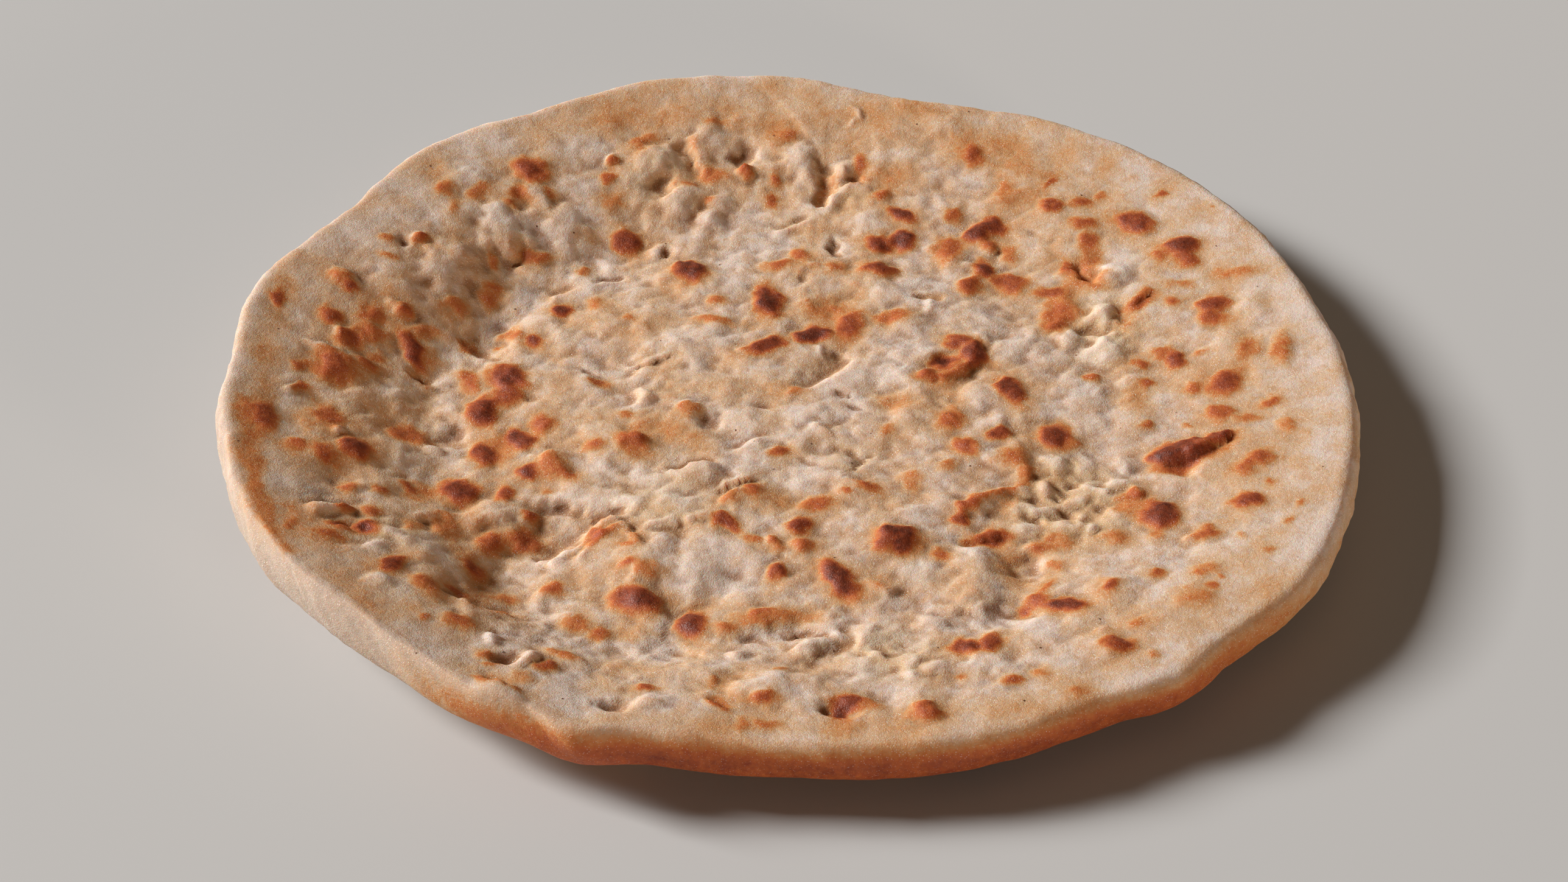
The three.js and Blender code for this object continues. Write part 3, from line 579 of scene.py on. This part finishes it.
def beside_line(x, y, points):
    """Distance to a line of straight stretches, above 0 on its left, and the run to its nearer end."""
    nearest, place = np.full(x.shape, np.inf), np.zeros(x.shape)
    start = 0
    for (x0, y0), (x1, y1) in zip(points, points[1:]):
        run_x, run_y = x1 - x0, y1 - y0
        run = math.hypot(run_x, run_y)
        share = np.clip(((x - x0) * run_x + (y - y0) * run_y) / run ** 2, 0, 1)
        off_x, off_y = x - x0 - share * run_x, y - y0 - share * run_y
        distance = np.hypot(off_x, off_y) * np.where(run_x * off_y >= run_y * off_x, 1, -1)
        closer = np.abs(distance) < np.abs(nearest)
        nearest, place = np.where(closer, distance, nearest), np.where(closer, start + share * run, place)
        start += run
    return nearest, np.minimum(place, start - place)


def outline_radius(turn):
    radius = around(OUTLINE_RADII, turn)
    for middle, spread, height in CORNERS:
        radius = radius + height * np.exp(-(((turn * FULL_TURN_DEGREES - middle) / spread) ** 2))
    return radius


def climb(share, turn):
    """The climb from the flat middle to the rim, from 0 to 1, with a bend at its foot and a bow above."""
    foot = around(FOOT_SHARE, turn)
    past = np.clip(share - foot + FOOT_BEND / 2, 0, None)
    run = np.where(past < FOOT_BEND, past ** 2 / (2 * FOOT_BEND), past - FOOT_BEND / 2) / (1 - foot)
    return run * (1 + around(CLIMB_BOW, turn) * (1 - run))


def edge_profile(slant):
    """Reach and height of the wall at a slant, as shares of its reach and of half the thickness."""
    reach, height = np.cos(slant), np.sin(slant)
    power = 2 / EDGE_SQUARENESS
    return np.abs(reach) ** power, np.sign(height) * np.abs(height) ** power


def unevenness(x, y, seed):
    return sum(height * noise(x, y, cell, seed + k) for k, (cell, height) in enumerate(UNEVENNESS))


def rounded(x, y, scales, seed):
    """Round swellings with sharp creases between them."""
    return sum(height * np.abs(noise(x, y, cell, seed + k)) for k, (cell, height) in enumerate(scales))


def folds(x, y):
    """Creases that run along the zero lines of a noise, each with a lip on one side, here and there."""
    height = np.zeros(x.shape)
    for k, (cell, depth, lip) in enumerate(FOLDS):
        line = noise(x, y, cell, FOLD_SEED + k)
        patches = noise(x, y, cell * FOLD_PATCH, FOLD_PATCH_SEED + k)
        crease = -depth * np.exp(-((line / CREASE_WIDTH) ** 2))
        side = lip * np.tanh(line / CREASE_WIDTH) * np.exp(-((line / LIP_WIDTH) ** 2))
        height += smoothstep(*FOLD_RISE, patches) * (crease + side)
    return height


def calmed(place, start, end, most):
    """What is left of the unevenness where it fades towards an end."""
    return 1 - most * smoothstep(start, end, place)


def spot_rise(width, level):
    """How far a blister stands up: more when it is wide and well browned."""
    return BLISTER_RISE * width * (PALE_RISE + (1 - PALE_RISE) * level)


def relief(x, y, share):
    """Height of the upper face over the plain dish."""
    wx, wy = warped(x, y)
    height = CROWN_RISE * (1 - smoothstep(CROWN_TOP_SHARE, CROWN_FOOT_SHARE, share))
    lip = around(RIM_LIP, np.arctan2(y, x) / (2 * np.pi))
    height = height + lip * np.exp(-(((1 - share) / LIP_REACH) ** 2))
    rough = unevenness(x, y, DOUGH_SEED) + folds(x, y) + rounded(wx, wy, PUFFS, PUFF_SEED)
    rough = rough + potato(x, y) * rounded(wx, wy, CRUMBS, CRUMB_SEED)
    height = height + rough * calmed(share, *CALM_RIM) * calmed(x, *CALM_RIGHT)
    for width, level, edge in ovals(wx, wy, SPOTS, SPOT_SPREAD):
        height += spot_rise(width, level) * np.clip(1 - edge ** 2, 0, 1) ** SPOT_FALL
    for _, rise, edge in ovals(wx, wy, LUMPS, LUMP_SPREAD):
        height += rise * np.clip(1 - edge ** 2, 0, 1) ** LUMP_FALL
    for left, right, left_reach, right_reach, _, points in LINES:
        distance, inward = beside_line(wx, wy, points)
        blend = LINE_BLEND * min(left_reach, right_reach)
        side = smoothstep(-blend, blend, distance)
        fade = np.exp(-((distance / np.where(distance > 0, left_reach, right_reach)) ** 2))
        height += (left * side + right * (1 - side)) * fade * smoothstep(0, LINE_TAPER, inward)
    return height


def hollows(x, y, share, height):
    """How deep a place lies between those round it: 1 in a hollow, -1 on a crest."""
    steps = ((HOLLOW_REACH, 0), (-HOLLOW_REACH, 0), (0, HOLLOW_REACH), (0, -HOLLOW_REACH))
    beside = sum(relief(x + right, y + up, share) for right, up in steps) / len(steps)
    return np.clip((beside - height) / HOLLOW_DEPTH, -1, 1)


def brown_lines(x, y):
    """Browning along the lines that have some, partly painted shade along the inside of the left rim."""
    shown = np.zeros(x.shape)
    brown_relief = [(max(row[2:4]), row[4], row[5]) for row in LINES if row[4] > 0]
    for width, level, points in list(BROWN_LINES) + brown_relief:
        distance, inward = beside_line(x, y, points)
        band = level * np.exp(-((distance / width) ** 2)) * smoothstep(-BROWN_PAST_END, LINE_TAPER, inward)
        shown = np.maximum(shown, band)
    return shown


def browning(x, y):
    """How far the upper face is browned, from 0 to 1, including the painted shade that some washes and brown
    lines add.
    """
    wx, wy = warped(x, y)
    spots = strongest(wx, wy, SPOTS, SPOT_FADE)
    halos = np.zeros(x.shape)
    for width, level, edge in ovals(wx, wy, SPOTS):
        outside = np.clip(edge - 1, 0, None) * width / 2
        halos = np.maximum(halos, HALO_LEVEL * level * np.exp(-outside / HALO_REACH))
    pale = strongest(wx, wy, LUMPS, LUMP_FADE)
    washes = np.maximum(strongest(wx, wy, WASHES, WASH_FADE), brown_lines(wx, wy))
    washes = washes * (1 - np.clip(WASH_PALING * pale, 0, PALING_LIMIT))
    faint = np.full(x.shape, FAINT_LEVEL)
    for k, (cell, height) in enumerate(FAINT_NOISE):
        faint += height * noise(x, y, cell, FAINT_SEED + k)
    soft = np.minimum(halos + washes + np.clip(faint - FAINT_PALING * pale, 0, 1), SOFT_LIMIT)
    return spots + soft * (1 - spots)


def potato(x, y):
    """How much of the filling shows."""
    return strongest(*warped(x, y), POTATO, POTATO_FADE)


def under_marks(x, y):
    """Browning of the underside by griddle marks scattered over it."""
    random = np.random.default_rng(MARKS_SEED)
    marks = []
    for _ in range(MARKS_COUNT):
        reach, turn = MARKS_REACH * math.sqrt(random.uniform()), random.uniform(0, 2 * math.pi)
        length = random.uniform(*MARKS_SIZES)
        width = length * random.uniform(*MARKS_WIDTHS)
        level = random.uniform(*MARKS_LEVELS)
        centre = reach * math.cos(turn), reach * math.sin(turn)
        marks.append((*centre, length, width, random.uniform(0, FULL_TURN_DEGREES / 2), level))
    return strongest(*warped(x, y), marks, MARKS_FADE)


def places(reach, turn):
    """x and y at those distances from the middle and parts of a full turn."""
    return reach * np.cos(2 * np.pi * turn), reach * np.sin(2 * np.pi * turn)


def disc(count, last):
    """Turn, share of the outline's radius, x and y of the vertices up to the last of so many rings."""
    turn = np.concatenate([[0.0]] + [np.arange(SECTORS * k) / (SECTORS * k) for k in range(1, last + 1)])
    share = np.concatenate([[0.0]] + [np.full(SECTORS * k, k / count) for k in range(1, last + 1)])
    radius = outline_radius(turn)
    reach = share * (radius - EDGE_REACH)
    return turn, reach / radius, *places(reach, turn)


def ring_start(k):
    """Number of the first vertex of ring k of such a disc."""
    return SECTORS * k * (k - 1) // 2 + 1 if k else 0


def disc_faces(count):
    """Triangles of a disc of that many rings, facing up."""
    faces = []
    for k in range(1, count + 1):
        outer, inner = ring_start(k), ring_start(k - 1)
        for sector in range(SECTORS):
            for j in range(k):
                here = outer + (sector * k + j) % (SECTORS * k)
                after = outer + (sector * k + j + 1) % (SECTORS * k)
                below = inner + (sector * (k - 1) + j) % max(SECTORS * (k - 1), 1)
                faces.append((here, after, below))
                if j < k - 1:
                    beyond = inner + (sector * (k - 1) + j + 1) % (SECTORS * (k - 1))
                    faces.append((below, after, beyond))
    return np.array(faces)


def top_surface():
    """Vertices of the upper face, and their browning, potato, hollow and painted shade."""
    turn, share, x, y = disc(TOP_RINGS, TOP_RINGS)
    height = relief(x, y, share)
    z = THICKNESS + around(RIM_RISE, turn) * climb(share, turn) + height
    hollow = hollows(x, y, share, height)
    toast_and_shade = browning(x, y)
    patches = smoothstep(*GOLD_RISE, noise(x, y, GOLD_PATCH, GOLD_SEED))
    gold = GOLD_LEVEL * np.clip(-hollow, 0, 1) * patches
    # Painted shade darkens the inner slope of the left and lower-left rim
    painted_shade = around(RIM_PAINTED_SHADE, turn) * smoothstep(PAINTED_SHADE_STARTS, PAINTED_SHADE_FULL, share)
    return np.stack([x, y, z], 1), toast_and_shade + gold * (1 - toast_and_shade), potato(x, y), hollow, painted_shade


def wall_surface():
    """The same for the rings from the rim's crest down the rounded wall to its foot."""
    turn = np.tile(np.arange(RIM_VERTICES) / RIM_VERTICES, WALL_RINGS)
    slant = np.repeat(np.pi * (0.5 - np.arange(1, WALL_RINGS + 1) / WALL_RINGS), RIM_VERTICES)
    radius = outline_radius(turn)
    outward, upward = edge_profile(slant)
    upper, low = np.clip(upward, 0, 1), np.clip(1 - upward, 0, 1)
    smooth_reach = radius - EDGE_REACH + EDGE_REACH * outward
    x, y = places(smooth_reach, turn)
    rough = unevenness(x + slant * HALF_THICKNESS, y - slant * HALF_THICKNESS, DOUGH_SEED)
    reach = smooth_reach + (WALL_WAVES * rough - WALL_DRAWN_IN) * np.cos(slant)
    share = np.minimum(reach / radius, 1)
    z = HALF_THICKNESS * (1 + upward) + around(RIM_RISE, turn) * climb(share, turn)
    z = z + upper * relief(x, y, share)
    z = z + around(SHOULDER, turn) * np.sin(2 * slant) * (slant > 0)
    # The wall's browning carries painted shade towards the front
    toast_and_shade = upper * browning(x, y) + around(WALL_BROWNING_AND_SHADE, turn) * low
    points = np.stack([*places(reach, turn), z], 1)
    # The last value paints shade on the left and lower-left wall
    return points, toast_and_shade, upper * potato(x, y), np.zeros(len(x)), around(WALL_PAINTED_SHADE, turn)


def under_surface():
    """The same for the underside, inside the foot of the wall."""
    turn, share, x, y = disc(UNDER_RINGS, UNDER_RINGS - 1)
    dents = np.abs(unevenness(x, y, UNDER_SEED)) * smoothstep(1, UNDER_DENTS_FADE, share)
    z = around(RIM_RISE, turn) * climb(share, turn) + dents
    # The underside's rim takes the same browning and painted shade as the wall
    toast_and_shade = under_marks(x, y) + around(WALL_BROWNING_AND_SHADE, turn) * smoothstep(UNDER_BROWN_STARTS, 1, share)
    nothing = np.zeros(len(x))
    return np.stack([x, y, z], 1), toast_and_shade, nothing, nothing, nothing


def wall_faces(top_count):
    """Triangles that join the crest and the wall's rings."""
    step = np.arange(RIM_VERTICES)
    after = (step + 1) % RIM_VERTICES
    starts = [ring_start(TOP_RINGS)] + [top_count + k * RIM_VERTICES for k in range(WALL_RINGS)]
    faces = []
    for high, low in zip(starts, starts[1:]):
        faces.append(np.stack([high + step, low + step, low + after], 1))
        faces.append(np.stack([high + step, low + after, high + after], 1))
    return np.concatenate(faces)


def under_faces(wall_foot, under_start):
    """Triangles of the underside, with two of the wall's edges to each edge of its outer ring."""
    inner_ring = UNDER_RINGS - 1
    rim = under_start + ring_start(inner_ring)
    faces = []
    for sector in range(SECTORS):
        for j in range(UNDER_RINGS):
            step = 2 * (sector * UNDER_RINGS + j)
            start, middle = wall_foot + step, wall_foot + step + 1
            end = wall_foot + (step + 2) % RIM_VERTICES
            below = rim + (sector * inner_ring + j) % (SECTORS * inner_ring)
            faces.append((start, below, middle))
            faces.append((middle, below, end))
            if j < inner_ring:
                beyond = rim + (sector * inner_ring + j + 1) % (SECTORS * inner_ring)
                faces.append((below, beyond, end))
    return np.concatenate([disc_faces(inner_ring)[:, ::-1] + under_start, np.array(faces)])


def bread_mesh():
    surfaces = [top_surface(), wall_surface(), under_surface()]
    points = np.concatenate([surface[0] for surface in surfaces]) * MILLIMETRE
    top_count, wall_count = len(surfaces[0][0]), len(surfaces[1][0])
    wall_foot = top_count + wall_count - RIM_VERTICES
    faces = np.concatenate([
        disc_faces(TOP_RINGS),
        wall_faces(top_count),
        under_faces(wall_foot, top_count + wall_count),
    ])
    mesh = bpy.data.meshes.new("bread")
    mesh.from_pydata(points.tolist(), [], faces.tolist())
    for name, column in (("toast_and_shade", 1), ("potato", 2), ("hollow", 3), ("painted_shade", 4)):
        values = np.concatenate([surface[column] for surface in surfaces])
        layer = mesh.attributes.new(name, "FLOAT", "POINT")
        layer.data.foreach_set("value", np.clip(values, -1, 1).astype(np.float32))
    mesh.polygons.foreach_set("use_smooth", np.ones(len(mesh.polygons), bool))
    mesh.update()
    return mesh


def linear(colour):
    """A daylight colour of 0 to 255 as the linear colour that shaders take."""
    shares = [value / 255 for value in colour]
    return [s / 12.92 if s <= 0.04045 else ((s + 0.055) / 1.055) ** 2.4 for s in shares] + [1]


def add_node(tree, kind, inputs=None, **settings):
    """A shader node with its settings, and its inputs given as values or as sockets to link."""
    node = tree.nodes.new("ShaderNode" + kind)
    for name, value in settings.items():
        setattr(node, name, value)
    for name, value in (inputs or {}).items():
        if isinstance(value, bpy.types.NodeSocket):
            tree.links.new(value, node.inputs[name])
        else:
            node.inputs[name].default_value = value
    return node


def math_node(tree, operation, first, second, clamp=False):
    return add_node(tree, "Math", {0: first, 1: second}, operation=operation, use_clamp=clamp).outputs[0]


def mix_colour(tree, share, first, second, blend="MIX"):
    inputs = {MIX_SHARE: share, MIX_FIRST: first, MIX_SECOND: second}
    return add_node(tree, "Mix", inputs, data_type="RGBA", blend_type=blend).outputs[MIX_RESULT]


def map_range(tree, value, low, high, to_low=0.0, to_high=1.0):
    inputs = {"Value": value, "From Min": low, "From Max": high, "To Min": to_low, "To Max": to_high}
    return add_node(tree, "MapRange", inputs).outputs[0]


def noise_node(tree, place, cell, detail, roughness):
    """Noise from about -1 to 1 over cells of that size in millimetres."""
    inputs = {"Vector": place, "Scale": 1 / (cell * MILLIMETRE), "Detail": detail, "Roughness": roughness}
    return map_range(tree, add_node(tree, "TexNoise", inputs).outputs["Fac"], 0.3, 0.7, -1.0, 1.0)


def weighted(tree, *parts):
    """Sum of sockets, each with its weight."""
    total = 0.0
    for socket, weight in parts:
        total = math_node(tree, "ADD", math_node(tree, "MULTIPLY", socket, weight), total)
    return total


def specks(tree, place, cell, size, share):
    """1 on small specks in some of the cells of that size in millimetres, 0 elsewhere."""
    cells = add_node(tree, "TexVoronoi", {"Vector": place, "Scale": 1 / (cell * MILLIMETRE)})
    near = map_range(tree, cells.outputs["Distance"], size, size * SPECK_CORE)
    draw = add_node(tree, "SeparateColor", {"Color": cells.outputs["Color"]}).outputs["Red"]
    chosen = math_node(tree, "LESS_THAN", draw, share)
    return math_node(tree, "MULTIPLY", near, chosen)


def attribute(tree, name):
    """Socket with one of the values that the mesh holds for each vertex."""
    return add_node(tree, "Attribute", attribute_name=name).outputs["Fac"]


def toast_ramp(tree, level):
    """Colours from pale dough to dark brown."""
    ramp = add_node(tree, "ValToRGB", {"Fac": level})
    stops = ramp.color_ramp.elements
    while len(stops) < len(TOAST_STOPS):
        stops.new(0.5)
    for stop, (position, colour) in zip(stops, TOAST_STOPS):
        stop.position = position
        stop.color = linear(colour)
    return ramp.outputs["Color"]


def crust_colour(tree, place, level, noises):
    """Browned dough, warmer in places, with potato, a painted highlight on crests, painted shade in hollows
    and by the left rim, bran, and flour specks with painted glints.
    """
    grain, _, crumb, mottle, blotch = noises
    hollow = attribute(tree, "hollow")
    warmth = map_range(tree, weighted(tree, (crumb, 0.5), (mottle, 0.6), (blotch, 0.6)), -0.2, 1.0)
    patches = map_range(tree, mottle, -1.0, 1.0, 0.5, 1.2)
    # Crests get a painted highlight, hollows and the left rim painted shade
    layers = (
        (DOUGH_WARM, math_node(tree, "MULTIPLY", warmth, 0.75)),
        (POTATO_COLOUR, math_node(tree, "MULTIPLY", attribute(tree, "potato"), 0.5)),
        (PAINTED_CREST_HIGHLIGHT, map_range(tree, hollow, -0.1, -0.8, 0.0, 0.5)),
        (PAINTED_HOLLOW_SHADE, map_range(tree, hollow, 0.05, 0.8, 0.0, 0.75)),
        (PAINTED_SHADE_DOUGH, math_node(tree, "MULTIPLY", attribute(tree, "painted_shade"), patches)),
    )
    plain = map_range(tree, level, 0.4, 0.1)
    colour = toast_ramp(tree, level)
    for layer_colour, share in layers:
        colour = mix_colour(tree, math_node(tree, "MULTIPLY", share, plain), colour, linear(layer_colour))
    colour = mix_colour(tree, specks(tree, place, *BRAN_SPECKS), colour, linear(BRAN))
    # White specks: flour, with painted glints standing for the sparkle of fine grains
    glint = map_range(tree, level, 0.9, 0.1, 0.1, 0.8)
    flour_and_glint = math_node(tree, "MULTIPLY", specks(tree, place, *FLOUR_AND_GLINT_SPECKS), glint)
    flour_and_glint = math_node(tree, "MULTIPLY", flour_and_glint, map_range(tree, crumb, -0.5, 0.8, 0.3, 1.0))
    colour = mix_colour(tree, flour_and_glint, colour, linear(FLOUR_AND_GLINT))
    shade = map_range(tree, weighted(tree, (grain, 0.7), (crumb, 0.3)), -1.0, 1.0, 0.88, 1.08)
    return mix_colour(tree, 1.0, colour, shade, "MULTIPLY")


def crust_material():
    material = bpy.data.materials.new("crust")
    material.use_nodes = True
    tree = material.node_tree
    tree.nodes.clear()
    place = add_node(tree, "TexCoord").outputs["Object"]
    noises = [noise_node(tree, place, *scale) for scale in CRUST_NOISES]
    grain, freckle, crumb, mottle, _ = noises

    # Browning with its painted shade, a grainy edge and streaks in the dark middles
    toast_and_shade = attribute(tree, "toast_and_shade")
    spread = weighted(tree, (grain, 0.03), (freckle, 0.06), (crumb, 0.06), (mottle, 0.05))
    reach = map_range(tree, toast_and_shade, 0.0, 0.35, 0.5, 1.0)
    level = math_node(tree, "ADD", toast_and_shade, math_node(tree, "MULTIPLY", spread, reach), clamp=True)

    heights = weighted(tree, (grain, 0.3), (freckle, 0.35), (crumb, 0.35))
    bump = add_node(tree, "Bump", {"Height": heights, **BUMP})
    shader = add_node(tree, "BsdfPrincipled", {
        "Base Color": crust_colour(tree, place, level, noises),
        "Roughness": map_range(tree, level, 0.2, 0.9, PALE_ROUGHNESS, BROWN_ROUGHNESS),
        "Normal": bump.outputs["Normal"],
        **FINISH,
    })
    output = add_node(tree, "OutputMaterial")
    tree.links.new(shader.outputs["BSDF"], output.inputs["Surface"])
    return material


def add_bread():
    bread = bpy.data.objects.new("bread", bread_mesh())
    bpy.context.scene.collection.objects.link(bread)
    bread.data.materials.append(crust_material())
    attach(bread, "root")
    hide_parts("paratha")


def add_floor():
    mesh = bpy.data.meshes.new("floor")
    corners = [(FLOOR_HALF * x, FLOOR_HALF * y, 0) for x, y in ((-1, -1), (1, -1), (1, 1), (-1, 1))]
    mesh.from_pydata(corners, [], [(0, 1, 2, 3)])
    floor = bpy.data.objects.new("floor", mesh)
    bpy.context.scene.collection.objects.link(floor)
    material = bpy.data.materials.new("floor")
    material.use_nodes = True
    shader = material.node_tree.nodes["Principled BSDF"]
    shader.inputs["Base Color"].default_value = FLOOR_COLOUR
    shader.inputs["Roughness"].default_value = FLOOR_ROUGHNESS
    floor.data.materials.append(material)


def add_light(name, side, towards_back, elevation, power, size, colour):
    """A soft square light that faces the bread."""
    light = bpy.data.lights.new(name, "AREA")
    light.energy = power
    light.size = size
    light.color = colour
    lamp = bpy.data.objects.new(name, light)
    bpy.context.scene.collection.objects.link(lamp)
    back, up = math.radians(towards_back), math.radians(elevation)
    flat = Vector((side * math.cos(back), math.sin(back), 0))
    direction = flat * math.cos(up) + Vector((0, 0, math.sin(up)))
    lamp.location = direction * LIGHT_DISTANCE
    lamp.rotation_euler = direction.to_track_quat("Z", "Y").to_euler()


def add_world():
    world = bpy.data.worlds.new("studio")
    world.use_nodes = True
    background = world.node_tree.nodes["Background"]
    background.inputs["Color"].default_value = AMBIENT_COLOUR
    background.inputs["Strength"].default_value = AMBIENT
    bpy.context.scene.world = world


def add_camera():
    data = bpy.data.cameras.new("camera")
    data.lens = CAMERA_LENS
    camera = bpy.data.objects.new("camera", data)
    bpy.context.scene.collection.objects.link(camera)
    up = math.radians(CAMERA_ELEVATION)
    back = Vector((0, -math.cos(up), math.sin(up)))
    camera.location = (Vector(CAMERA_AIM) + CAMERA_DISTANCE * back) * MILLIMETRE
    camera.rotation_euler = back.to_track_quat("Z", "Y").to_euler()
    bpy.context.scene.camera = camera


add_camera()
for light_name, light_settings in LIGHTS.items():
    add_light(light_name, *light_settings)
add_world()
add_floor()
add_bread()
bpy.context.scene.view_settings.view_transform = "Standard"
